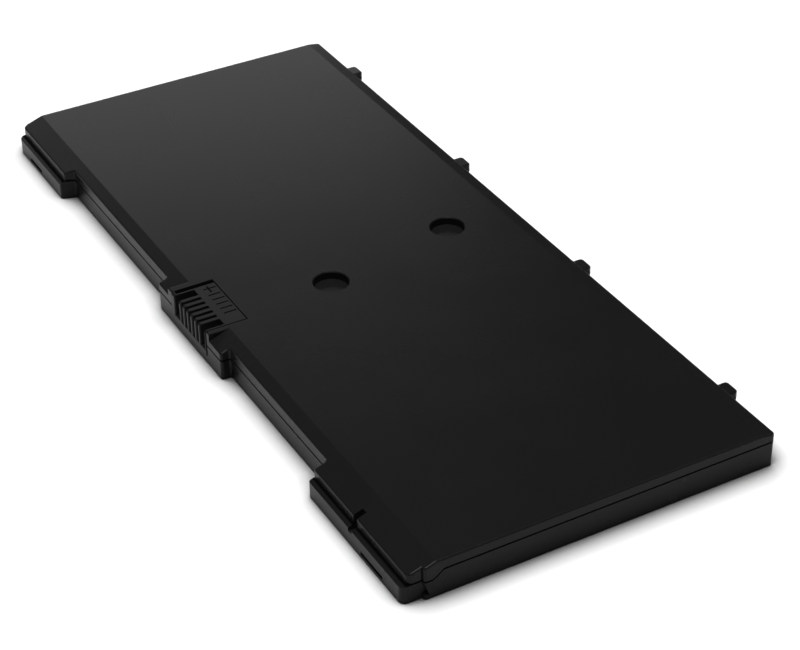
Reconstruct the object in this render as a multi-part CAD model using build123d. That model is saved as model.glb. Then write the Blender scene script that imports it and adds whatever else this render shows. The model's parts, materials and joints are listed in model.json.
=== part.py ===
from build123d import *
import os

# A flat notebook battery: two moulded shells, a slotted connector block in the front edge, and four
# flat polymer cells in a row behind a long protection board. Lengths are in millimetres. x runs along
# the battery and z is up. While a piece is made, y is measured from the front edge of the flat top;
# place() then moves it so that the origin is at the middle of the underside.

# Outer form
body_length = 250.5
panel_depth = 96.0  # the flat top, from front to back
thickness = 10.9
back_slope_width = 4.0
back_slope_drop = 0.6
front_fall = 0.344  # drop of the front slope for each millimetre forward
recess_reach = 3.5  # how far the long front walls stand in front of the flat top
boss_reach = 6.4
ear_reach = 7.4  # the cover's wall at the near ear
ledge_reach = 9.0  # the tray's wall at the near ear
far_ear_setback = 1.0  # the far ear stands out by this much less
ledge_slope = 0.3  # fall of the ledge's top for each millimetre forward
far_ear_length = 34.4  # the ears, from the body's ends
far_ear_flare = 1.5  # the far ear is this much longer at its root
near_ear_length = 48.9
boss_left_width = 21.35  # the boss, from the connector's middle
boss_right_width = 19.55
ear_end_step = 1.1  # the near ear's end stands in from the end wall
ear_step_reach = 3.4
step_foot = 1.4  # height of the foot that the step's slanted face leaves
front_corner = 1.8  # radii of upright corners
back_corner = 1.0
small_corner = 0.8
board_corner = 0.5
top_edge = 0.6  # rounding along the cover's rims
shoulder_edge = 0.4
bottom_edge = 0.4

# Shells
wall = 1.4
top_skin = 1.2
bottom_skin = 1.0
front_seam = 6.3
ear_seam = 5.6
side_seam = 7.8
seam_ramp_ears = -1.0  # the seam climbs from ear_seam to front_seam and on to side_seam here
seam_ramp_front = 0.2
seam_ramp_back = 2.0
seam_gap = 0.2
lip_rise = 1.2
lip_setback = 0.75
fit = 0.1  # clearance between pieces that slide together
shadow = 0.2  # clearance where shells pass each other

# Wells in the top
front_well_place = (6.75, 34.7)
rear_well_x = -1.75
rear_well_inset = 18.3  # from the flat top's back edge
well_radius = 5.1
well_depth = 2.4
well_wall = 1.0
well_edge = 0.25

# Tabs along the back edge
tab_inset = 22.6  # the outer tabs, from the body's ends
inner_tab_place = 33.5  # the inner tabs, from the middle
tab_width = 5.4
tab_reach = 3.4
tab_top = 9.9
tab_height = 3.0
tab_corner = 1.4
tab_edge = 0.5

# Latch notch in the near ear and thin slots along the foot of both ears, from the body's ends
notch_inset = 26.9
notch_width = 1.8
notch_inner = 4.7
notch_floor = 4.0
far_foot_slot = (9.0, 18.2)
near_foot_slot = (10.6, 21.5)
foot_slot_low = 1.0
foot_slot_height = 1.1
foot_slot_depth = 2.0
foot_slot_wall = 1.0

# Connector block and its pocket
connector_centre = 0.7
connector_half = 10.35
connector_front = 6.6
connector_back = 6.0
connector_floor = 2.7
connector_lip = 0.8
key_gap = 1.7  # the open gap along the block's left side
key_flange = 1.0
pocket_gap = 0.35
pocket_wall = 1.0
shoulder_left = 2.3
shoulder_right = 1.6
contact_pitch = 2.5
signal_count = 5
power_offset = 8.3
signal_slot = 1.2
power_slot = 3.0
slot_lead_in = 0.3  # bevel at the mouth of each slot
slot_floor = 4.3
slot_end = -0.4
chamber_end = 4.8
chamber_roof = 9.6
groove_width = 0.5
groove_depth = 0.5
groove_front = 1.8
groove_length = 3.8
tail_door_top = 5.0

# Contacts
contact_sheet = 0.3
leaf_height = 3.6
leaf_front = -2.8
leaf_back = 3.6
leaf_pinch = 0.12  # how far the leaves spring inward
pinch_place = -1.6
foot_length = 1.5
tail_setback = 1.8

# Board and its parts
board_length = 150.0
board_front = 6.6
board_width = 9.0
board_sheet = 0.8
board_pin_radius = 0.9
board_post_radius = 1.8
board_pin_centres = [-62.0, 62.0]
board_post_centres = [-40.0, 40.0]
tail_run = 2.5  # how far strips and leads reach onto the board
chip_bevel = 0.2
lead_sheet = 0.2
lead_reach = 0.5
gauge_chip_place = 27.0
gauge_chip_size = (9.7, 4.4, 1.6)
gauge_chip_lead_count = 14
protection_chip_place = -20.0
protection_chip_size = (6.0, 4.0, 1.3)
protection_chip_lead_count = 8
transistor_places = [-31.5, -50.0]
transistor_size = (5.0, 4.4, 1.1)
transistor_lead_count = 4
fuse_place = 54.0
fuse_size = (5.5, 3.2, 1.4)
resistor_place = 41.0
resistor_size = (6.4, 3.2, 0.9)
capacitor_start = 13.5
capacitor_pitch = 2.2
capacitor_row = 2.2
capacitor_size = (1.6, 0.8, 0.8)

# Cells: flat pouches, tabs at the front
cell_height = 7.4
cell_corner = 2.5
cell_edge = 1.2
cell_gap = 1.1
cell_side_gap = 0.7
spine_half = 13.8
cell_back_gap = 0.8
tab_clearance = 0.4  # between the tabs' tips and the board
seal_depth = 3.4
seal_height = 1.6
tab_sheet = 0.2
cell_tab_width = 6.0
cell_tab_length = 3.4
cell_tab_offset = 12.0
pad_sheet = 0.3
pad_margin = 7.0
foam_width = 40.0
foam_depth = 12.0

# Nickel, tape and the sensor
nickel = 0.2
link_width = 3.2
link_tail_width = 4.0
strap_width = 3.0
strap_front = 11.0
strap_slope = 3.0
strap_on_board = 3.5
tape = 0.15
tape_margin = 2.0
sensor_setback = 8.0
lead_clearance = 0.8
bead_width = 3.0
bead_length = 4.0
bead_height = 0.9

# Ribs in the tray
rib = 0.8
divider_height = 4.5
stop_height = 1.6

# Values that follow from the ones above
half_length = body_length / 2
far_ear_end = far_ear_length - half_length
far_ear_root = far_ear_end + far_ear_flare
near_ear_start = half_length - near_ear_length
near_end = half_length - ear_end_step
boss_left = connector_centre - boss_left_width
boss_right = connector_centre + boss_right_width
notch_centre = half_length - notch_inset
well_centres = [front_well_place, (rear_well_x, panel_depth - rear_well_inset)]
outer_tab_place = half_length - tab_inset
tab_centres = [-outer_tab_place, -inner_tab_place, inner_tab_place, outer_tab_place]
back_wall = panel_depth + back_slope_width
frame_shift = (back_wall + tab_reach - ledge_reach) / 2
reach = 2 * thickness  # long enough to run past the body in a cut
ledge_fall = ledge_slope * (ledge_reach - ear_reach)
ledge_underside = ear_seam - ledge_fall - wall
board_bottom = connector_floor
board_top = board_bottom + board_sheet
board_back = board_front + board_width
cell_bottom = bottom_skin + pad_sheet
cell_top = cell_bottom + cell_height
cell_back = back_wall - wall - cell_back_gap
tab_tip = board_back + tab_clearance
cell_front = tab_tip + cell_tab_length + seal_depth
cell_middle = cell_bottom + cell_height / 2
tab_face = cell_middle + tab_sheet / 2
cell_width = (half_length - wall - cell_side_gap - spine_half - cell_gap) / 2
inner_cell = spine_half + cell_width / 2
outer_cell = inner_cell + cell_width + cell_gap
cell_centres = [-outer_cell, -inner_cell, inner_cell, outer_cell]
ceiling = thickness - top_skin
first_signal = connector_centre - contact_pitch * (signal_count - 1) / 2
signal_centres = [first_signal + contact_pitch * step for step in range(signal_count)]
power_centres = [connector_centre - power_offset, connector_centre + power_offset]
pocket_left = connector_centre - connector_half - key_gap
pocket_right = connector_centre + connector_half + pocket_gap
pocket_back = connector_back + pocket_gap


def place(piece):
    """Moves a finished piece into the battery's own frame."""
    return Pos(0, -frame_shift, 0) * piece


def save(piece, name):
    export_step(place(piece), f"parts/{name}.step")


def block(x0, x1, y0, y1, z0, z1):
    """A block from its low and high sides."""
    return Pos((x0 + x1) / 2, (y0 + y1) / 2, (z0 + z1) / 2) * Box(x1 - x0, y1 - y0, z1 - z0)


def rod(x, y, radius, z0, z1):
    return Pos(x, y, (z0 + z1) / 2) * Cylinder(radius, z1 - z0)


def along_x(profile, x0, x1):
    """A profile of (y, z) points drawn out from x0 to x1."""
    face = Plane.YZ.offset(x0) * make_face(Polyline(*profile, close=True))
    return extrude(face, amount=x1 - x0, dir=(1, 0, 0))


def along_y(profile, y0, y1):
    """A profile of (x, z) points drawn out from y0 to y1."""
    face = Plane.XZ.offset(-y0) * make_face(Polyline(*profile, close=True))
    return extrude(face, amount=y1 - y0, dir=(0, 1, 0))


def upright(plan, z0, z1):
    """A plan drawn out from z0 to z1."""
    return extrude(Pos(0, 0, z0) * plan, amount=z1 - z0, dir=(0, 0, 1))


def round_corners(plan, corners, radius):
    """Rounds the plan's corners that lie at the given points."""
    picked = [plan.vertices().sort_by_distance((x, y, 0))[0] for x, y in corners]
    return fillet(picked, radius)


def body_plan(reach_at_ears):
    """The battery's outline seen from above, with its ears standing forward by the given reach."""
    ear = -reach_at_ears
    far_ear = far_ear_setback - reach_at_ears
    recess = -recess_reach
    boss = -boss_reach
    outline = Polyline(
        (-half_length, back_wall),
        (-half_length, far_ear),
        (far_ear_end, far_ear),
        (far_ear_root, recess),
        (boss_left, recess),
        (boss_left, boss),
        (boss_right, boss),
        (boss_right, recess),
        (near_ear_start, recess),
        (near_ear_start, ear),
        (near_end, ear),
        (near_end, -ear_step_reach),
        (half_length, -ear_step_reach),
        (half_length, back_wall),
        close=True,
    )
    plan = make_face(outline)
    ears = [(-half_length, far_ear), (near_end, ear)]
    backs = [(-half_length, back_wall), (half_length, back_wall)]
    insides = [(far_ear_end, far_ear), (near_ear_start, ear), (boss_left, boss), (boss_right, boss)]
    steps = [(half_length, -ear_step_reach)]
    hollows = [(far_ear_root, recess), (boss_left, recess), (boss_right, recess), (near_ear_start, recess)]
    plan = round_corners(plan, ears, front_corner)
    plan = round_corners(plan, backs, back_corner)
    return round_corners(plan, insides + steps + hollows, small_corner)


def inset(plan, amount):
    return offset(plan, amount=-amount, kind=Kind.INTERSECTION)


def above_top(drop):
    """All that lies above the top surface, lowered by drop: front slope, flat top and back slope."""
    level = thickness - drop
    back_fall = back_slope_drop / back_slope_width
    profile = [
        (-reach, level - reach * front_fall),
        (0, level),
        (panel_depth, level),
        (panel_depth + reach, level - reach * back_fall),
        (panel_depth + reach, thickness + reach),
        (-reach, thickness + reach),
    ]
    return along_x(profile, -body_length, body_length)


def below_seam(rise):
    """All that lies below the seam between the shells, raised by rise."""
    far = back_wall + reach
    profile = [
        (-reach, -reach),
        (-reach, front_seam + rise),
        (seam_ramp_front, front_seam + rise),
        (seam_ramp_back, side_seam + rise),
        (far, side_seam + rise),
        (far, -reach),
    ]
    form = along_x(profile, -body_length, body_length)
    form -= above_ledge(rise, far_ear_setback - ear_reach, -body_length, far_ear_end)
    return form - above_ledge(rise, -ear_reach, near_ear_start, body_length)


def above_ledge(rise, ear, x0, x1):
    """All above the lower seam at one ear, whose ledge slopes away in front of the cover's wall."""
    profile = [
        (-reach, ear_seam + rise - ledge_slope * (reach + ear)),
        (ear, ear_seam + rise),
        (seam_ramp_ears, ear_seam + rise),
        (seam_ramp_front, front_seam + rise),
        (seam_ramp_front, reach),
        (-reach, reach),
    ]
    return along_x(profile, x0, x1)


def shoulders():
    """The space over the connector where the flat top runs on to the boss's front."""
    return block(
        pocket_left - shoulder_left, pocket_right + shoulder_right, -reach, small_corner, 0, thickness
    )


def on_shoulder(edge):
    middle = edge.center()
    low = pocket_left - shoulder_left - fit
    high = pocket_right + shoulder_right + fit
    return middle.Y < 0 and low < middle.X < high


def is_break_line(edge):
    """True for the lines where the flat top turns into a slope, which stay sharp."""
    middle = edge.center()
    at_front = abs(middle.Y) < small_corner * 1.5
    at_back = abs(middle.Y - panel_depth) < small_corner
    return abs(edge.tangent_at(0.5).X) > 0.9 and (at_front or at_back)


def cover_form():
    """The cover's outside as a full solid, from the table up to its top surface."""
    form = upright(body_plan(ear_reach), 0, thickness) - (above_top(0) - shoulders())
    high = [edge for edge in form.edges() if edge.center().Z > side_seam]
    level = [edge for edge in high if abs(edge.tangent_at(0.5).Z) < 0.8]
    rims = [edge for edge in level if not is_break_line(edge) and not on_shoulder(edge)]
    form = fillet(rims, top_edge)
    at_top = [edge for edge in form.edges() if edge.bounding_box().min.Z > thickness - fit]
    return fillet([edge for edge in at_top if on_shoulder(edge)], shoulder_edge)


def well(x, y):
    """A round well with a bevelled mouth, as a solid to cut away."""
    mouth = Cone(well_radius, well_radius + well_edge, well_edge)
    return rod(x, y, well_radius, thickness - well_depth, thickness) + (
        Pos(x, y, thickness - well_edge / 2) * mouth
    )


def back_tabs():
    """The four rounded locating tabs that stand out behind the body."""
    tabs = Part()
    for centre in tab_centres:
        tab = block(
            centre - tab_width / 2,
            centre + tab_width / 2,
            back_wall - lip_setback / 2,
            back_wall + tab_reach,
            tab_top - tab_height,
            tab_top,
        )
        tab = fillet(tab.edges().filter_by(Axis.Z).group_by(Axis.Y)[-1], tab_corner)
        rim = [edge for edge in tab.faces().sort_by(Axis.Z)[-1].edges() if edge.center().Y > back_wall]
        tabs += chamfer(rim, tab_edge)
    return tabs


def connector_pocket(z0):
    """The opening for the connector block, through the boss's front and the top."""
    return block(pocket_left, pocket_right, -reach, pocket_back, z0, reach)


def latch_notch():
    """The catch for the latch: a narrow slot down through the near ear's front edge."""
    low = notch_centre - notch_width / 2
    return block(low, low + notch_width, -reach, -notch_inner, notch_floor, reach)


def top_cover():
    cover = cover_form() - below_seam(seam_gap / 2)
    plan = body_plan(ear_reach)
    hollow = upright(inset(plan, wall), 0, thickness) - above_top(top_skin)
    rebate = upright(inset(plan, lip_setback), 0, thickness) - above_top(top_skin)
    rebate &= below_seam(lip_rise + shadow)
    cover -= hollow + rebate
    inside = upright(inset(plan, wall / 2), 0, thickness) - above_top(top_skin / 2)
    for x, y in well_centres:
        cover += rod(x, y, well_radius + well_wall, ceiling - well_depth, ceiling + top_skin / 2)
    for x, y in well_centres:
        cover -= well(x, y)
    cover += pocket_frame() & inside
    cover += ceiling_ribs()
    cover -= connector_pocket(-reach)
    cover += notch_guard() & inside
    cover -= latch_notch()
    tray_side = block(-body_length, body_length, 0, back_wall + fit, 0, thickness)
    return cover + (back_tabs() - (tray_side & below_seam(seam_gap / 2)))


def pocket_frame():
    """The cover's walls round the connector, open below its back for the contacts' tails."""
    left = pocket_left - pocket_wall
    right = pocket_right + pocket_wall
    back = pocket_back + pocket_wall
    inner_front = -boss_reach + wall + shadow
    frame = block(left, right, inner_front, back, board_top + shadow, thickness)
    frame += block(left, right, -boss_reach, inner_front, front_seam + lip_rise + shadow, thickness)
    return frame - block(pocket_left, pocket_right, connector_back, back, 0, tail_door_top)


def notch_guard():
    """Closes the cover behind the latch notch."""
    low = notch_centre - notch_width / 2 - wall
    high = low + notch_width + 2 * wall
    foot = ear_seam + lip_rise + shadow
    return block(low, high, -ear_reach, -notch_inner + wall, foot, thickness)


def ceiling_ribs():
    """Shallow stiffening ribs under the cover, clear of the cells."""
    ribs = Part()
    low = cell_top - divider_height / 2
    for x in (-spine_half + cell_gap / 2, spine_half - cell_gap / 2):
        ribs += block(x - rib / 2, x + rib / 2, cell_front, cell_back, low, ceiling + top_skin / 2)
    return ribs


def bottom_tray():
    cover_plan = body_plan(ear_reach)
    tray_plan = body_plan(ledge_reach)
    tray = upright(tray_plan, 0, thickness) & below_seam(-seam_gap / 2)
    tray = chamfer(tray.faces().sort_by(Axis.Z)[0].edges(), bottom_edge)
    lip = upright(inset(cover_plan, lip_setback + fit), bottom_skin, thickness) & below_seam(lip_rise)
    tray += lip
    tray -= step_draft()
    tray -= upright(inset(tray_plan, wall), bottom_skin, ledge_underside)
    tray -= upright(inset(cover_plan, wall), bottom_skin, thickness)
    for low, high, front in foot_slots():
        top = foot_slot_low + foot_slot_height
        tray += block(
            low - foot_slot_wall,
            high + foot_slot_wall,
            front + wall / 2,
            front + foot_slot_depth + foot_slot_wall,
            bottom_skin / 2,
            top + foot_slot_wall,
        )
        tray -= block(low, high, -reach, front + foot_slot_depth, foot_slot_low, top)
    tray += notch_housing()
    tray -= latch_notch()
    tray += connector_seat()
    tray -= connector_pocket(connector_floor)
    tray += tray_ribs() + board_supports()
    return tray


def step_draft():
    """Cuts the slanted face under the step at the near ear's end, down to a small foot."""
    foot = -ear_step_reach + wall
    profile = [(-ear_step_reach, ear_seam), (-ear_step_reach, step_foot), (foot, step_foot)]
    return along_x(profile, near_end, body_length)


def foot_slots():
    """The low x, the high x and the ear's front for the thin slot along each ear's foot."""
    far = [place - half_length for place in far_foot_slot]
    near = [half_length - place for place in reversed(near_foot_slot)]
    return [(*far, far_ear_setback - ledge_reach), (*near, -ledge_reach)]


def notch_housing():
    """The tray's walls round the latch notch, up to the lip's height behind it."""
    low = notch_centre - notch_width / 2 - wall
    high = low + notch_width + 2 * wall
    back = -notch_inner + wall
    lip_front = -ear_reach + lip_setback + fit
    plate = ledge_underside + wall / 2
    walls = block(low, high, -ledge_reach + wall / 2, back, bottom_skin / 2, plate)
    return walls + block(low, high, lip_front, back, bottom_skin, ear_seam + lip_rise)


def connector_seat():
    """The raised floor that the connector block stands on, with the boss's front wall below it."""
    left = pocket_left - pocket_wall
    right = pocket_right + pocket_wall
    return block(left, right, -boss_reach + wall / 2, board_front - fit, bottom_skin / 2, connector_floor)


def tray_ribs():
    """Ribs that keep the cells apart, hold them off the wells' bosses and stop them at the front."""
    ribs = Part()
    foot = bottom_skin / 2
    dividers = [-spine_half + cell_gap / 2, spine_half - cell_gap / 2]
    dividers += [-outer_cell + cell_width / 2 + cell_gap / 2, outer_cell - cell_width / 2 - cell_gap / 2]
    for x in dividers:
        ribs += block(x - rib / 2, x + rib / 2, cell_front, cell_back, foot, bottom_skin + divider_height)
    for centre in cell_centres:
        ribs += block(
            centre - cell_width / 3,
            centre + cell_width / 3,
            cell_front - cell_gap - rib,
            cell_front - cell_gap,
            foot,
            bottom_skin + stop_height,
        )
    return ribs


def board_supports():
    """Posts under the board, two of them with a pin through it."""
    posts = Part()
    middle = board_front + board_width / 2
    for x in board_post_centres + board_pin_centres:
        posts += rod(x, middle, board_post_radius, bottom_skin / 2, board_bottom)
    for x in board_pin_centres:
        posts += rod(x, middle, board_pin_radius, board_bottom, board_top + board_pin_radius)
    return posts


def connector_housing():
    left = connector_centre - connector_half
    right = connector_centre + connector_half
    body = block(left, right, -connector_front, connector_back, connector_floor, thickness)
    flange_back = -connector_front + key_flange
    body += block(pocket_left + fit, left, -connector_front, flange_back, connector_floor, thickness)
    top_rim = [edge for edge in body.edges() if edge.center().Z > thickness - fit]
    body = fillet([edge for edge in top_rim if edge.center().Y < fit - connector_front], connector_lip)
    openings = [(x, signal_slot) for x in signal_centres]
    openings += [(x, power_slot) for x in power_centres]
    for x, width in openings:
        low = x - width / 2
        high = x + width / 2
        body -= block(low, high, -reach, slot_end, slot_floor, reach)
        body -= slot_mouth(low, high)
        body -= block(low, high, slot_end - fit, chamber_end, slot_floor, chamber_roof)
        tail_top = slot_floor + contact_sheet + fit
        body -= block(low + fit, high - fit, slot_end, reach, slot_floor, tail_top)
    for x in [power_centres[0]] + signal_centres:
        body -= block(
            x - groove_width / 2,
            x + groove_width / 2,
            groove_front,
            groove_front + groove_length,
            thickness - groove_depth,
            reach,
        )
    return body


def slot_mouth(low, high):
    """The bevelled mouth of a slot, which leads the mating blade in."""
    mouth = Polyline(
        (low - slot_lead_in, -connector_front),
        (high + slot_lead_in, -connector_front),
        (high, slot_lead_in - connector_front),
        (low, slot_lead_in - connector_front),
        close=True,
    )
    return upright(make_face(mouth), slot_floor, reach)


def contact(centre, opening):
    """A forked contact: two leaves that pinch the mating blade, a base, and a tail to the board."""
    half = opening / 2 - fit
    inner = half - contact_sheet
    top = slot_floor + contact_sheet
    leaf = Polyline(
        (half, leaf_back),
        (half, slot_end),
        (half - leaf_pinch, pinch_place),
        (half, leaf_front),
        (inner, leaf_front),
        (inner - leaf_pinch, pinch_place),
        (inner, slot_end),
        (inner, leaf_back),
        close=True,
    )
    side = upright(make_face(leaf), top - contact_sheet / 2, top + leaf_height)
    base = block(-half, half, slot_end, leaf_back, slot_floor, top)
    tail_half = half - fit
    tail_back = connector_back + tail_setback
    tail = [
        (leaf_back - contact_sheet, slot_floor),
        (tail_back - contact_sheet, slot_floor),
        (tail_back - contact_sheet, board_top),
        (tail_back + foot_length, board_top),
        (tail_back + foot_length, board_top + contact_sheet),
        (tail_back, board_top + contact_sheet),
        (tail_back, top),
        (leaf_back - contact_sheet, top),
    ]
    piece = side + mirror(side, Plane.YZ) + base + along_x(tail, -tail_half, tail_half)
    return Pos(centre, 0, 0) * piece


def circuit_board():
    board = block(-board_length / 2, board_length / 2, board_front, board_back, board_bottom, board_top)
    board = fillet(board.edges().filter_by(Axis.Z), board_corner)
    for x in board_pin_centres:
        board -= rod(x, board_front + board_width / 2, board_pin_radius + fit, 0, thickness)
    return board


def chip(x, length, width, height, lead_count):
    """A small package with a row of leads along each long side, soldered to the board."""
    y = board_front + board_width / 2
    top = board_top + height
    body = block(x - length / 2, x + length / 2, y - width / 2, y + width / 2, board_top + fit, top)
    body = chamfer(body.faces().sort_by(Axis.Z)[-1].edges(), chip_bevel)
    lead = [
        (width / 2 - lead_sheet, board_top + height / 2),
        (width / 2 + lead_reach - lead_sheet, board_top + height / 2),
        (width / 2 + lead_reach - lead_sheet, board_top),
        (width / 2 + 2 * lead_reach, board_top),
        (width / 2 + 2 * lead_reach, board_top + lead_sheet),
        (width / 2 + lead_reach, board_top + lead_sheet),
        (width / 2 + lead_reach, board_top + height / 2 + lead_sheet),
        (width / 2 - lead_sheet, board_top + height / 2 + lead_sheet),
    ]
    pitch = length / lead_count
    back_lead = along_x(lead, -pitch / 4, pitch / 4)
    front_lead = mirror(back_lead, Plane.XZ)
    for step in range(lead_count):
        at = x - length / 2 + pitch * (step + 0.5)
        body += Pos(at, y, 0) * back_lead
        body += Pos(at, y, 0) * front_lead
    return body


def chip_component(x, y, length, width, height):
    """A plain block part with plated ends, such as a resistor, fuse or capacitor."""
    top = board_top + height
    half = length / 2
    plated = length / 5
    piece = block(x - half, x + half, y - width / 2, y + width / 2, board_top, top)
    return piece - block(x - half + plated, x + half - plated, y - width, y + width, top - fit, top)


def board_capacitors():
    """Eight small capacitors in two rows beside the gauge chip."""
    parts = Part()
    for column in range(4):
        for row in (-1, 1):
            x = capacitor_start + column * capacitor_pitch
            y = board_front + board_width / 2 + row * capacitor_row
            parts += chip_component(x, y, capacitor_size[0], capacitor_size[1], capacitor_size[2])
    return parts


def cell(centre):
    """A sealed pouch: a flat body with drawn edges, the folded seal at its front and two tabs."""
    left = centre - cell_width / 2
    body = block(left, left + cell_width, cell_front, cell_back, cell_bottom, cell_top)
    body = chamfer(body.edges().filter_by(Axis.Z), cell_corner)
    body = chamfer([edge for edge in body.edges() if abs(edge.tangent_at(0.5).Z) < 0.1], cell_edge)
    half = cell_width / 2 - cell_corner
    seal = [
        (cell_front + cell_edge, cell_middle - seal_height),
        (cell_front, cell_middle - seal_height),
        (cell_front - seal_depth / 2, cell_middle - tab_sheet),
        (cell_front - seal_depth, cell_middle - tab_sheet),
        (cell_front - seal_depth, cell_middle + tab_sheet),
        (cell_front - seal_depth / 2, cell_middle + tab_sheet),
        (cell_front, cell_middle + seal_height),
        (cell_front + cell_edge, cell_middle + seal_height),
    ]
    body += along_x(seal, centre - half, centre + half)
    for side in (-1, 1):
        x = centre + side * cell_tab_offset
        body += block(
            x - cell_tab_width / 2,
            x + cell_tab_width / 2,
            tab_tip,
            cell_front - seal_depth + tab_sheet,
            cell_middle - tab_sheet / 2,
            tab_face,
        )
    return body


def cell_pad(centre):
    return block(
        centre - cell_width / 2 + pad_margin,
        centre + cell_width / 2 - pad_margin,
        cell_front + pad_margin,
        cell_back - pad_margin,
        bottom_skin,
        cell_bottom,
    )


def foam_strip(centre):
    left = centre - foam_width / 2
    front = (cell_front + cell_back - foam_depth) / 2
    return block(left, left + foam_width, front, front + foam_depth, cell_top, ceiling)


def board_tail(x, width):
    """The part of a strip that runs from the tabs' height forward and down onto the board."""
    start = tab_tip + link_width / 2
    foot = board_back - tail_run
    profile = [
        (start, tab_face),
        (board_back + nickel, tab_face),
        (board_back - nickel, board_top),
        (foot, board_top),
        (foot, board_top + nickel),
        (board_back - 2 * nickel, board_top + nickel),
        (board_back, tab_face + nickel),
        (start, tab_face + nickel),
    ]
    return along_x(profile, x - width / 2, x + width / 2)


def cell_link(left_cell, right_cell):
    """Joins one cell's right tab to the next cell's left tab, with a tail to the board for balancing."""
    x0 = left_cell + cell_tab_offset - cell_tab_width / 2
    x1 = right_cell - cell_tab_offset + cell_tab_width / 2
    strip = block(x0, x1, tab_tip, tab_tip + link_width, tab_face, tab_face + nickel)
    return strip + board_tail((x0 + x1) / 2, link_tail_width)


def end_strap(side):
    """Brings an end cell's outer tab to the board's end: side is -1 on the left and 1 on the right."""
    tab = outer_cell + cell_tab_offset
    half = cell_tab_width / 2
    board_end = board_length / 2
    arm = block(tab - half, tab + half, strap_front, tab_tip + link_width, tab_face, tab_face + nickel)
    run = [
        (tab, tab_face),
        (board_end + strap_slope, tab_face),
        (board_end - nickel, board_top),
        (board_end - strap_on_board, board_top),
        (board_end - strap_on_board, board_top + nickel),
        (board_end - 2 * nickel, board_top + nickel),
        (board_end + strap_slope - nickel, tab_face + nickel),
        (tab, tab_face + nickel),
    ]
    strap = arm + along_y(run, strap_front, strap_front + strap_width)
    return strap if side > 0 else mirror(strap, Plane.YZ)


def tab_tape(left_cell, right_cell):
    """Insulating tape over a link."""
    x0 = left_cell + cell_tab_offset - cell_tab_width / 2 - tape_margin
    x1 = right_cell - cell_tab_offset + cell_tab_width / 2 + tape_margin
    low = tab_face + nickel
    return block(x0, x1, tab_tip, tab_tip + link_width + tape, low, low + tape)


def thermistor():
    """The sensor's bead on the second cell, with two flat leads that run down to the board."""
    x = cell_centres[1]
    bead_back = cell_front + sensor_setback
    left = x - bead_width / 2
    bead_top = cell_top + bead_height
    bead = block(left, left + bead_width, bead_back - bead_length, bead_back, cell_top, bead_top)
    bead = fillet(bead.edges().filter_by(Axis.Y).group_by(Axis.Z)[-1], bead_height / 3)
    front = board_back - tail_run / 2
    knee = cell_front - seal_depth - lead_clearance
    shelf = cell_middle + seal_height
    bead_middle = bead_back - bead_length / 2
    lead_top = cell_top + bead_height / 2
    lead = [
        (bead_middle, lead_top),
        (cell_front, lead_top),
        (knee, shelf + nickel),
        (knee - lead_clearance, board_top + nickel),
        (front, board_top + nickel),
        (front, board_top),
        (knee - lead_clearance + nickel, board_top),
        (knee + nickel, shelf),
        (cell_front + nickel, lead_top - nickel),
        (bead_middle, lead_top - nickel),
    ]
    for side in (-1, 1):
        at = x + side * bead_width / 4
        bead += along_x(lead, at - nickel, at + nickel)
    return bead


def make_pieces():
    pieces = {
        "top_cover": top_cover(),
        "bottom_tray": bottom_tray(),
        "connector_housing": connector_housing(),
        "contact_positive": contact(power_centres[0], power_slot),
        "contact_negative": contact(power_centres[1], power_slot),
        "circuit_board": circuit_board(),
        "gauge_chip": chip(gauge_chip_place, *gauge_chip_size, gauge_chip_lead_count),
        "protection_chip": chip(protection_chip_place, *protection_chip_size, protection_chip_lead_count),
        "discharge_transistor": chip(transistor_places[0], *transistor_size, transistor_lead_count),
        "charge_transistor": chip(transistor_places[1], *transistor_size, transistor_lead_count),
        "cell_fuse": chip_component(fuse_place, board_front + board_width / 2, *fuse_size),
        "sense_resistor": chip_component(resistor_place, board_front + board_width / 2, *resistor_size),
        "board_capacitors": board_capacitors(),
        "positive_strap": end_strap(-1),
        "negative_strap": end_strap(1),
        "thermistor": thermistor(),
    }
    for number, centre in enumerate(signal_centres, start=1):
        pieces[f"contact_signal_{number}"] = contact(centre, signal_slot)
    for number, centre in enumerate(cell_centres, start=1):
        pieces[f"cell_{number}"] = cell(centre)
        pieces[f"cell_pad_{number}"] = cell_pad(centre)
        pieces[f"foam_strip_{number}"] = foam_strip(centre)
    for number, pair in enumerate(zip(cell_centres, cell_centres[1:]), start=1):
        pieces[f"cell_link_{number}"] = cell_link(*pair)
        pieces[f"tab_tape_{number}"] = tab_tape(*pair)
    return pieces


if __name__ == "__main__":
    os.makedirs("parts", exist_ok=True)
    for name, piece in make_pieces().items():
        save(piece, name)
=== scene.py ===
"""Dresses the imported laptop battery: its finishes, its polarity mark, a floor, lamps and the camera."""

import json
import math

import bmesh
import bpy
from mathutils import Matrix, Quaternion, Vector


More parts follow.
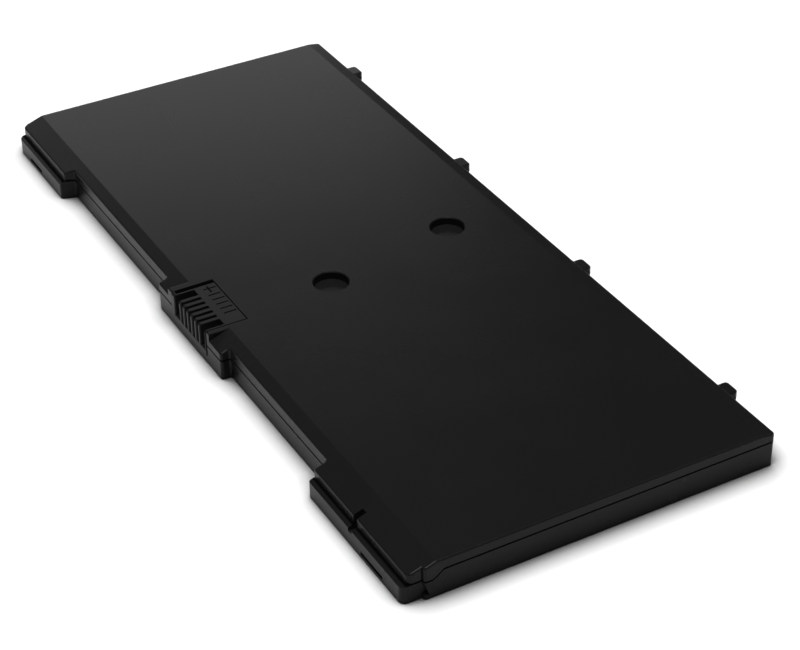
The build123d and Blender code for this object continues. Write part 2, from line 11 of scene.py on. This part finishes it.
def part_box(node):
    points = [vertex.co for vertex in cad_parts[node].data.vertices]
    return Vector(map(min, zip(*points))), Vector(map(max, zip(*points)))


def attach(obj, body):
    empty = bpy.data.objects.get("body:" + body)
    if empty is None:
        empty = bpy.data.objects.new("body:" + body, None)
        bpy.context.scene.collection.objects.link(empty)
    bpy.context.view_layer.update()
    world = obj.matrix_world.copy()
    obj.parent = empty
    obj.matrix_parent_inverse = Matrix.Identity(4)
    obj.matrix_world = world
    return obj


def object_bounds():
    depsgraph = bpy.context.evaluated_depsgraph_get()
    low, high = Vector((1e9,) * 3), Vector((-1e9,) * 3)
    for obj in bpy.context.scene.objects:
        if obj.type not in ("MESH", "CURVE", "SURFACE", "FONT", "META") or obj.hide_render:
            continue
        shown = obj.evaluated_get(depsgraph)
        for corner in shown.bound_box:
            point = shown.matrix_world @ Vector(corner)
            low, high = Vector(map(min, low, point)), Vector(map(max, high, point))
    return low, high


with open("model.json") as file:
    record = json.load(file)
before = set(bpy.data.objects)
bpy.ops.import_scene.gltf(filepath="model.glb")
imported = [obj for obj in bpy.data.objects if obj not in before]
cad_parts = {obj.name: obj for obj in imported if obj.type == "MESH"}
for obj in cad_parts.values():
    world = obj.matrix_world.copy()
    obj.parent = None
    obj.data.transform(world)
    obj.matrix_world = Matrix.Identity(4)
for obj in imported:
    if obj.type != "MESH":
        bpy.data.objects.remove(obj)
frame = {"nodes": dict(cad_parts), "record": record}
cad_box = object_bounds()

MM = 0.001

# The photograph's camera, in metres and degrees
CAMERA_PLACE = Vector((0.46183, -0.24293, 0.34812))
CAMERA_AZIMUTH = 60.98
CAMERA_ELEVATION = 34.66
CAMERA_ROLL = 0.80
CAMERA_LENS = 97.58  # millimetres, on a sensor 36 mm wide
CAMERA_NEAR = 0.01
SENSOR_WIDTH = 36.0

# The seam between the shells, where a dark line of shade is painted: its climbs are measured from the
# foremost face, the ears from the two ends
HALF_LENGTH = cad_box[1][0]
FOREMOST = cad_box[0][1]
SEAM_RAMP_EARS = FOREMOST + 8.0 * MM
SEAM_RAMP_FRONT = FOREMOST + 9.2 * MM
SEAM_RAMP_BACK = FOREMOST + 11.0 * MM
FRONT_SEAM = 6.3 * MM
EAR_SEAM = 5.6 * MM
SIDE_SEAM = 7.8 * MM
FAR_EAR_LENGTH = 34.4 * MM
NEAR_EAR_LENGTH = 48.9 * MM
SEAM_CORE = 0.2 * MM  # half the width of the painted shade line's full black
SEAM_REACH = 0.4 * MM  # half the width over which the painted shade line fades out

# The mark beside the first groove of the connector block
MARK_LENGTH = 3.5 * MM
MARK_WIDTH = 0.5 * MM
MARK_HEIGHT = 0.02 * MM
MARK_BACK = 9.95 * MM  # from the block's front to the middle of the mark
MARK_LEFT = 4.0 * MM  # from the block's left side to the middle of the mark
MARK_END_STEPS = 8
MARK_CROWN_LENGTH = 0.97  # the mark's upper face as a share of its foot
MARK_CROWN_WIDTH = 0.8

# Finishes
SATIN_GLOSS = 0.08
CLOUD_SHADE = 1.25  # how much lighter a moulding is where its gloss is cloudy
DUST_SHADE = 0.05
MOULDED_RELIEF = 0.2
ROLLED_RELIEF = 0.2
FILM_RELIEF = 0.5
BOARD_RELIEF = 0.15

# The floor
FLOOR_SIZE = 6.0
FLOOR_ROUGHNESS = 0.9
FLOOR_WHITE = 0.92
FLOOR_GLOW = 0.8
GLOW_START = 0.17  # the glow grows with the distance from the battery, so that it leaves the shadow alone
GLOW_END = 0.4
CONTACT_REACH = 9.0 * MM  # how far from the walls the floor's shadow is deepened with painted shade
CONTACT_LEAN = (0.0, -0.25, 0.968)  # the deepened shadow is narrower in front, as in the photograph
CONTACT_OPEN = 0.5  # the share of open sky at which the shade is deepest
CONTACT_SHADE = 0.1

# Light levels, places in metres and powers in watts
WORLD_LIGHT = 0.05
LAMPS = {
    "right_softbox": {"place": (0.35, 0.75, 0.95), "aim": (0.0, 0.0, 0.0), "size": (0.6, 0.6), "power": 1.2},
    "overhead_softbox": {
        "place": (0.15, -0.1, 1.2), "aim": (0.0, 0.0, 0.0), "size": (0.7, 0.7), "power": 20.0
    },
    "far_softbox": {"place": (-1.43, 0.27, 0.52), "aim": (-0.05, 0.0, 0.0), "size": (1.1, 0.6), "power": 4.4},
}


def new_group(name, inputs, outputs):
    """An empty shader node group with number inputs and outputs."""
    group = bpy.data.node_groups.new(name, "ShaderNodeTree")
    for label, value in inputs.items():
        socket = group.interface.new_socket(label, in_out="INPUT", socket_type="NodeSocketFloat")
        socket.default_value = value
    for label in outputs:
        group.interface.new_socket(label, in_out="OUTPUT", socket_type="NodeSocketFloat")
    return group, group.nodes.new("NodeGroupInput").outputs, group.nodes.new("NodeGroupOutput").inputs


def feed(links, socket, value):
    """Gives a socket a plain number or a link."""
    if isinstance(value, (int, float)):
        socket.default_value = value
    else:
        links.new(value, socket)


def own_place(nodes):
    """The object's own coordinates."""
    return nodes.new("ShaderNodeTexCoord").outputs["Object"]


def math_node(nodes, links, operation, *values):
    """A math node over sockets or plain numbers."""
    node = nodes.new("ShaderNodeMath")
    node.operation = operation
    for socket, value in zip(node.inputs, values):
        feed(links, socket, value)
    return node.outputs[0]


def ramp(nodes, links, value, low, high, first, last):
    """A value that goes from first to last while the given one goes from low to high."""
    node = nodes.new("ShaderNodeMapRange")
    settings = {"Value": value, "From Min": low, "From Max": high, "To Min": first, "To Max": last}
    for label, setting in settings.items():
        feed(links, node.inputs[label], setting)
    return node.outputs["Result"]


def noise(nodes, links, place, scale, detail):
    """A noise texture over the given place."""
    node = nodes.new("ShaderNodeTexNoise")
    links.new(place, node.inputs["Vector"])
    feed(links, node.inputs["Scale"], scale)
    feed(links, node.inputs["Detail"], detail)
    return node.outputs["Fac"]


def cell_distance(nodes, links, place, scale):
    """The distance to the nearest of many scattered points."""
    node = nodes.new("ShaderNodeTexVoronoi")
    links.new(place, node.inputs["Vector"])
    feed(links, node.inputs["Scale"], scale)
    return node.outputs["Distance"]


def make_moulded_grain():
    """The fine spark-eroded grain of a moulding: its height, and the clouds in its gloss."""
    inputs = {"Grain Scale": 2600.0, "Cloud Scale": 45.0}
    group, given, out = new_group("moulded_grain", inputs, ("Height", "Cloud"))
    nodes, links = group.nodes, group.links
    place = own_place(nodes)
    pits = cell_distance(nodes, links, place, given["Grain Scale"])
    fine = noise(nodes, links, place, given["Grain Scale"], detail=3.0)
    links.new(math_node(nodes, links, "ADD", pits, fine), out["Height"])
    links.new(noise(nodes, links, place, given["Cloud Scale"], detail=4.0), out["Cloud"])
    return group


def make_dust():
    """Sparse specks of dust: 1 on a speck, 0 elsewhere."""
    inputs = {"Speck Scale": 900.0, "Size": 0.05, "Patch Scale": 160.0, "Patch Limit": 0.62}
    group, given, out = new_group("dust", inputs, ("Speck",))
    nodes, links = group.nodes, group.links
    place = own_place(nodes)
    distance = cell_distance(nodes, links, place, given["Speck Scale"])
    speck = math_node(nodes, links, "LESS_THAN", distance, given["Size"])
    patch = noise(nodes, links, place, given["Patch Scale"], detail=2.0)
    rare = math_node(nodes, links, "GREATER_THAN", patch, given["Patch Limit"])
    links.new(math_node(nodes, links, "MULTIPLY", speck, rare), out["Speck"])
    return group


def make_seam_shade():
    """The painted shade of the gap where the two shells meet: 1 on the line, 0 elsewhere. It dips at the two
    ears.
    """
    group, given, out = new_group("seam_shade", {"Core": SEAM_CORE, "Reach": SEAM_REACH}, ("Line",))
    nodes, links = group.nodes, group.links
    split = nodes.new("ShaderNodeSeparateXYZ")
    links.new(own_place(nodes), split.inputs[0])
    x, y, z = split.outputs
    side_rise = ramp(nodes, links, y, SEAM_RAMP_FRONT, SEAM_RAMP_BACK, 0.0, SIDE_SEAM - FRONT_SEAM)
    ear_fall = ramp(nodes, links, y, SEAM_RAMP_EARS, SEAM_RAMP_FRONT, EAR_SEAM - FRONT_SEAM, 0.0)
    far = math_node(nodes, links, "LESS_THAN", x, FAR_EAR_LENGTH - HALF_LENGTH)
    near = math_node(nodes, links, "GREATER_THAN", x, HALF_LENGTH - NEAR_EAR_LENGTH)
    at_ear = math_node(nodes, links, "ADD", far, near)
    change = math_node(nodes, links, "MULTIPLY_ADD", at_ear, ear_fall, side_rise)
    level = math_node(nodes, links, "ADD", change, FRONT_SEAM)
    away = math_node(nodes, links, "ABSOLUTE", math_node(nodes, links, "SUBTRACT", z, level))
    links.new(ramp(nodes, links, away, given["Core"], given["Reach"], 1.0, 0.0), out["Line"])
    return group


def make_brushing():
    """Fine parallel scratches along the X axis, for rolled strip and wire."""
    group, given, out = new_group("brushing", {"Along": 40.0, "Across": 4000.0}, ("Height", "Streak"))
    nodes, links = group.nodes, group.links
    stretch = nodes.new("ShaderNodeCombineXYZ")
    for axis, label in enumerate(("Along", "Across", "Across")):
        links.new(given[label], stretch.inputs[axis])
    scaled = nodes.new("ShaderNodeVectorMath")
    scaled.operation = "MULTIPLY"
    links.new(own_place(nodes), scaled.inputs[0])
    links.new(stretch.outputs[0], scaled.inputs[1])
    streak = noise(nodes, links, scaled.outputs[0], 1.0, detail=4.0)
    for socket in (out["Height"], out["Streak"]):
        links.new(streak, socket)
    return group


GRAIN = make_moulded_grain()
DUST = make_dust()
SEAM_SHADE = make_seam_shade()
BRUSHING = make_brushing()


class Finish:
    """One material and its Principled shader, with helpers that place the shared effects in it."""

    def __init__(self, name, roughness, metallic=0.0, **constants):
        self.material = bpy.data.materials.new(name)
        self.material.use_nodes = True
        self.nodes = self.material.node_tree.nodes
        self.links = self.material.node_tree.links
        self.shader = self.nodes["Principled BSDF"]
        self.shader.inputs["Roughness"].default_value = roughness
        self.shader.inputs["Metallic"].default_value = metallic
        for label, value in constants.items():
            self.shader.inputs[label.replace("_", " ")].default_value = value

    def effect(self, group, **values):
        """The outputs of a shared effect, placed with this finish's own values."""
        node = self.nodes.new("ShaderNodeGroup")
        node.node_tree = group
        for label, value in values.items():
            node.inputs[label.replace("_", " ")].default_value = value
        return node.outputs

    def blend_colour(self, mask, first, second):
        """A colour that goes from first to second with the mask."""
        mix = self.nodes.new("ShaderNodeMix")
        mix.data_type = "RGBA"
        self.links.new(mask, mix.inputs["Factor"])
        for socket, value in ((mix.inputs["A"], first), (mix.inputs["B"], second)):
            if isinstance(value, tuple):
                socket.default_value = (*value, 1.0)
            else:
                self.links.new(value, socket)
        return mix.outputs["Result"]

    def spread(self, mask, low, high):
        """The mask's 0 to 1 brought to low to high."""
        return ramp(self.nodes, self.links, mask, 0.0, 1.0, low, high)

    def colour(self, source):
        self.links.new(source, self.shader.inputs["Base Color"])

    def roughness(self, source):
        self.links.new(source, self.shader.inputs["Roughness"])

    def bump(self, height, strength, depth):
        node = self.nodes.new("ShaderNodeBump")
        node.inputs["Strength"].default_value = strength
        node.inputs["Distance"].default_value = depth
        self.links.new(height, node.inputs["Height"])
        self.links.new(node.outputs["Normal"], self.shader.inputs["Normal"])


def moulded_plastic(name, colour, rough, grain_scale, depth, gloss=0.5, seam_shaded=False):
    """Satin moulded plastic: fine grain, cloudy gloss, a few specks of dust, and the painted shade line of
    the seam where asked.
    """
    finish = Finish(name, sum(rough) / 2, Specular_IOR_Level=gloss)
    grain = finish.effect(GRAIN, Grain_Scale=grain_scale)
    cloudy = tuple(CLOUD_SHADE * value for value in colour)
    dusty = tuple(value + DUST_SHADE for value in colour)
    body = finish.blend_colour(grain["Cloud"], colour, cloudy)
    body = finish.blend_colour(finish.effect(DUST)["Speck"], body, dusty)
    blur = finish.spread(grain["Cloud"], *rough)
    if seam_shaded:
        # Painted shade: a black line along the seam between the shells.
        line = finish.effect(SEAM_SHADE)["Line"]
        body = finish.blend_colour(line, body, (0.0, 0.0, 0.0))
        blur = math_node(finish.nodes, finish.links, "MAXIMUM", blur, line)
    finish.colour(body)
    finish.roughness(blur)
    finish.bump(grain["Height"], MOULDED_RELIEF, depth)
    return finish.material


def rolled_metal(name, colour, streaked, rough):
    """Rolled strip: fine streaks in colour, gloss and height."""
    finish = Finish(name, sum(rough) / 2, metallic=1.0)
    brushing = finish.effect(BRUSHING)
    finish.colour(finish.blend_colour(brushing["Streak"], colour, streaked))
    finish.roughness(finish.spread(brushing["Streak"], *rough))
    finish.bump(brushing["Height"], ROLLED_RELIEF, depth=0.01 * MM)
    return finish.material


def soft_film(name, colour, shade, rough, grain_scale, depth, metallic=0.0):
    """Foil, tape, pad or foam: cloudy colour and a soft uneven face."""
    finish = Finish(name, sum(rough) / 2, metallic=metallic)
    grain = finish.effect(GRAIN, Grain_Scale=grain_scale, Cloud_Scale=120.0)
    finish.colour(finish.blend_colour(grain["Cloud"], colour, shade))
    finish.roughness(finish.spread(grain["Cloud"], *rough))
    finish.bump(grain["Height"], FILM_RELIEF, depth)
    return finish.material


def board_lacquer():
    """Green lacquer over a glass weave, with the copper's layout showing as a slightly lighter tone."""
    finish = Finish("board_laminate", 0.3, Coat_Weight=0.4, Coat_Roughness=0.15)
    tracks = finish.nodes.new("ShaderNodeTexBrick")
    finish.links.new(own_place(finish.nodes), tracks.inputs["Vector"])
    tracks.inputs["Scale"].default_value = 260.0
    tracks.inputs["Mortar Size"].default_value = 0.012
    grain = finish.effect(GRAIN, Grain_Scale=1800.0)
    deep_green, green, copper_green = (0.006, 0.075, 0.028), (0.01, 0.1, 0.036), (0.016, 0.14, 0.05)
    body = finish.blend_colour(grain["Cloud"], deep_green, green)
    finish.colour(finish.blend_colour(tracks.outputs["Fac"], body, copper_green))
    finish.bump(grain["Height"], BOARD_RELIEF, depth=0.02 * MM)
    return finish.material


def make_finishes():
    """One material for each of the record's material slots."""
    black = (0.006, 0.006, 0.006)
    return {
        "shell_plastic": moulded_plastic(
            "satin_black_shell", black, (0.24, 0.30), 2600.0, 0.006 * MM, gloss=SATIN_GLOSS, seam_shaded=True
        ),
        "connector_plastic": moulded_plastic(
            "black_connector_resin", black, (0.3, 0.36), 3400.0, 0.006 * MM, gloss=SATIN_GLOSS
        ),
        "contact_metal": rolled_metal(
            "gilded_spring_sheet", (0.55, 0.4, 0.16), (0.68, 0.52, 0.24), (0.2, 0.34)
        ),
        "board_laminate": board_lacquer(),
        "chip_plastic": moulded_plastic(
            "chip_package", (0.012, 0.012, 0.012), (0.5, 0.6), 5200.0, 0.006 * MM
        ),
        "ceramic_part": soft_film(
            "tinned_ceramic", (0.3, 0.25, 0.18), (0.42, 0.37, 0.3), (0.35, 0.5), 4200.0, 0.004 * MM
        ),
        "cell_pouch": soft_film(
            "silver_pouch_film",
            (0.5, 0.5, 0.52),
            (0.6, 0.6, 0.62),
            (0.3, 0.42),
            700.0,
            0.02 * MM,
            metallic=0.85,
        ),
        "nickel_strip": rolled_metal("nickel_strip", (0.52, 0.49, 0.43), (0.62, 0.59, 0.53), (0.22, 0.36)),
        "sensor_resin": moulded_plastic("sensor_resin", black, (0.2, 0.3), 3000.0, 0.004 * MM),
        "adhesive_pad": soft_film(
            "white_pad", (0.62, 0.61, 0.57), (0.7, 0.69, 0.66), (0.7, 0.85), 1500.0, 0.02 * MM
        ),
        "foam": soft_film(
            "black_foam", (0.014, 0.014, 0.014), (0.03, 0.03, 0.03), (0.85, 0.95), 1100.0, 0.15 * MM
        ),
        "insulating_tape": soft_film(
            "amber_tape", (0.42, 0.17, 0.015), (0.52, 0.24, 0.03), (0.18, 0.28), 900.0, 0.006 * MM
        ),
    }


def dress_nodes(finishes):
    """Gives each CAD node the finish of its material slot."""
    slots = {entry["node"]: entry["material_slot"] for entry in frame["record"]["subparts"]}
    for name, node in frame["nodes"].items():
        finish = finishes[slots[name]]
        if not node.material_slots:
            node.data.materials.append(finish)
        for slot in node.material_slots:
            slot.material = finish


def mark_outline():
    """The points around a short bar with round ends."""
    radius = MARK_WIDTH / 2
    points = []
    for end, start in ((1, -90), (-1, 90)):
        for step in range(MARK_END_STEPS + 1):
            angle = math.radians(start + 180 * step / MARK_END_STEPS)
            x = end * (MARK_LENGTH / 2 - radius) + radius * math.cos(angle)
            points.append((x, radius * math.sin(angle)))
    return points


def polarity_mark():
    """The dark bar that crosses the first groove of the connector block and makes a plus sign with it: a real
    mark, painted near-black and without gloss so that it shows as dark as the shaded grooves.
    """
    shape = bmesh.new()
    rim = [shape.verts.new((x, y, 0)) for x, y in mark_outline()]
    crown = [
        shape.verts.new((MARK_CROWN_LENGTH * x, MARK_CROWN_WIDTH * y, MARK_HEIGHT)) for x, y in mark_outline()
    ]
    shape.faces.new(crown)
    shape.faces.new(list(reversed(rim)))
    for index in range(len(rim)):
        after = (index + 1) % len(rim)
        shape.faces.new((rim[index], rim[after], crown[after], crown[index]))
    bmesh.ops.recalc_face_normals(shape, faces=shape.faces)
    mesh = bpy.data.meshes.new("polarity_mark")
    shape.to_mesh(mesh)
    shape.free()
    mark = bpy.data.objects.new("polarity_mark", mesh)
    bpy.context.scene.collection.objects.link(mark)
    low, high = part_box("connector_housing")
    mark.location = (low.x + MARK_LEFT, low.y + MARK_BACK, high.z)
    # Painted shade: the mark's near-black, glossless colour matches the grooves' shade.
    near_black = (0.002, 0.002, 0.002)
    mark.data.materials.append(
        moulded_plastic("polarity_mark_and_painted_shade", near_black, (0.8, 0.9), 3400.0, 0.002 * MM, gloss=0.0)
    )
    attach(mark, "root")


def contact_shade(nodes, links):
    """The floor's colour: white, with a painted shadow that darkens it close to the battery."""
    contact = nodes.new("ShaderNodeAmbientOcclusion")
    contact.inputs["Distance"].default_value = CONTACT_REACH
    lean = nodes.new("ShaderNodeCombineXYZ")
    for axis, value in enumerate(CONTACT_LEAN):
        lean.inputs[axis].default_value = value
    links.new(lean.outputs[0], contact.inputs["Normal"])
    # Painted shadow: the floor's base colour darkens where the battery hides its sky.
    return ramp(nodes, links, contact.outputs["AO"], CONTACT_OPEN, 1.0, CONTACT_SHADE, FLOOR_WHITE)


def backdrop_glow(nodes, links):
    """The strength of the floor's own white, for the camera and for mirrored and refracted rays only."""
    rays = nodes.new("ShaderNodeLightPath").outputs
    seen = math_node(nodes, links, "MAXIMUM", rays["Is Camera Ray"], rays["Is Glossy Ray"])
    seen = math_node(nodes, links, "MAXIMUM", seen, rays["Is Transmission Ray"])
    away = nodes.new("ShaderNodeVectorMath")
    away.operation = "LENGTH"
    links.new(own_place(nodes), away.inputs[0])
    fade = ramp(nodes, links, away.outputs["Value"], GLOW_START, GLOW_END, 0.0, FLOOR_GLOW)
    return math_node(nodes, links, "MULTIPLY", seen, fade)


def studio_floor():
    """A white floor that keeps the battery's soft shadow, deepened near its walls by a painted shadow, and
    shows pure white to the camera.
    """
    bpy.ops.mesh.primitive_plane_add(size=FLOOR_SIZE)
    floor = bpy.context.object
    floor.name = "studio_floor"
    material = bpy.data.materials.new("white_floor")
    material.use_nodes = True
    nodes, links = material.node_tree.nodes, material.node_tree.links
    shader = nodes["Principled BSDF"]
    shader.inputs["Roughness"].default_value = FLOOR_ROUGHNESS
    links.new(contact_shade(nodes, links), shader.inputs["Base Color"])
    glow = nodes.new("ShaderNodeEmission")
    links.new(backdrop_glow(nodes, links), glow.inputs["Strength"])
    total = nodes.new("ShaderNodeAddShader")
    links.new(shader.outputs[0], total.inputs[0])
    links.new(glow.outputs[0], total.inputs[1])
    links.new(total.outputs[0], nodes["Material Output"].inputs["Surface"])
    floor.data.materials.append(material)


def studio_world():
    """Dim, even surroundings."""
    world = bpy.data.worlds.new("studio")
    world.use_nodes = True
    surroundings = world.node_tree.nodes["Background"]
    surroundings.inputs["Color"].default_value = (1.0, 1.0, 1.0, 1.0)
    surroundings.inputs["Strength"].default_value = WORLD_LIGHT
    bpy.context.scene.world = world


def soft_lamp(name, place, aim, size, power):
    """A rectangular soft box at place, turned to aim."""
    lamp = bpy.data.lights.new(name, "AREA")
    lamp.shape = "RECTANGLE"
    lamp.size, lamp.size_y = size
    lamp.energy = power
    box = bpy.data.objects.new(name, lamp)
    box.location = place
    box.rotation_mode = "QUATERNION"
    box.rotation_quaternion = (Vector(aim) - Vector(place)).to_track_quat("-Z", "Y")
    bpy.context.scene.collection.objects.link(box)


def photograph_camera():
    """The camera that took the photograph, as fitted to the battery's corners."""
    camera = bpy.data.cameras.new("photograph_camera")
    camera.sensor_width = SENSOR_WIDTH
    camera.lens = CAMERA_LENS
    camera.clip_start = CAMERA_NEAR
    view = bpy.data.objects.new("photograph_camera", camera)
    azimuth, elevation = math.radians(CAMERA_AZIMUTH), math.radians(CAMERA_ELEVATION)
    level = math.cos(elevation)
    ahead = Vector((-math.sin(azimuth) * level, math.cos(azimuth) * level, -math.sin(elevation)))
    view.location = CAMERA_PLACE
    view.rotation_mode = "QUATERNION"
    view.rotation_quaternion = Quaternion(ahead, math.radians(CAMERA_ROLL)) @ ahead.to_track_quat("-Z", "Y")
    bpy.context.scene.collection.objects.link(view)
    bpy.context.scene.camera = view


photograph_camera()
dress_nodes(make_finishes())
polarity_mark()
studio_floor()
studio_world()
for lamp_name, setting in LAMPS.items():
    soft_lamp(lamp_name, **setting)
bpy.context.scene.view_settings.view_transform = "Standard"
